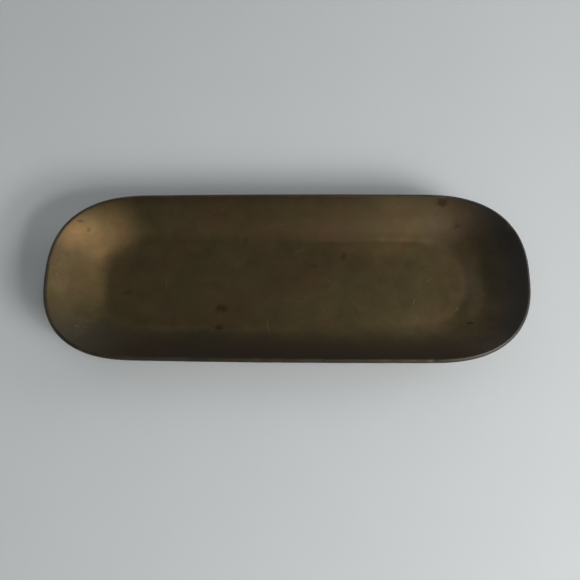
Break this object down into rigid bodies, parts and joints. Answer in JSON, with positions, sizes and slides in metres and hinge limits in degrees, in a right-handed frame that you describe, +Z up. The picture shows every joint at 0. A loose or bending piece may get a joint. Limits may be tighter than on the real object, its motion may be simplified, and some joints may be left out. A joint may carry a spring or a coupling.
{
  "type": "trinket tray",
  "caption": "Shallow oblong brass tray with flared walls, rounded ends and a plain cut rim, standing on felt pads, for keys, pens and small trinkets.",
  "frame": {"origin": "on the table, under the middle of the tray", "axes": "+X along the tray's length, +Y across it to the rear, +Z up out of the well"},
  "size_m": [0.21, 0.0762, 0.0171],
  "materials": {
    "aged_brass": "dark brown satin patina",
    "brown_felt": "pressed wool felt"
  },
  "bodies": {
    "root": {"tray_dish": "aged_brass", "felt_pad_front_left": "brown_felt", "felt_pad_front_right": "brown_felt", "felt_pad_rear_left": "brown_felt", "felt_pad_rear_right": "brown_felt"}
  },
  "joints": []
}
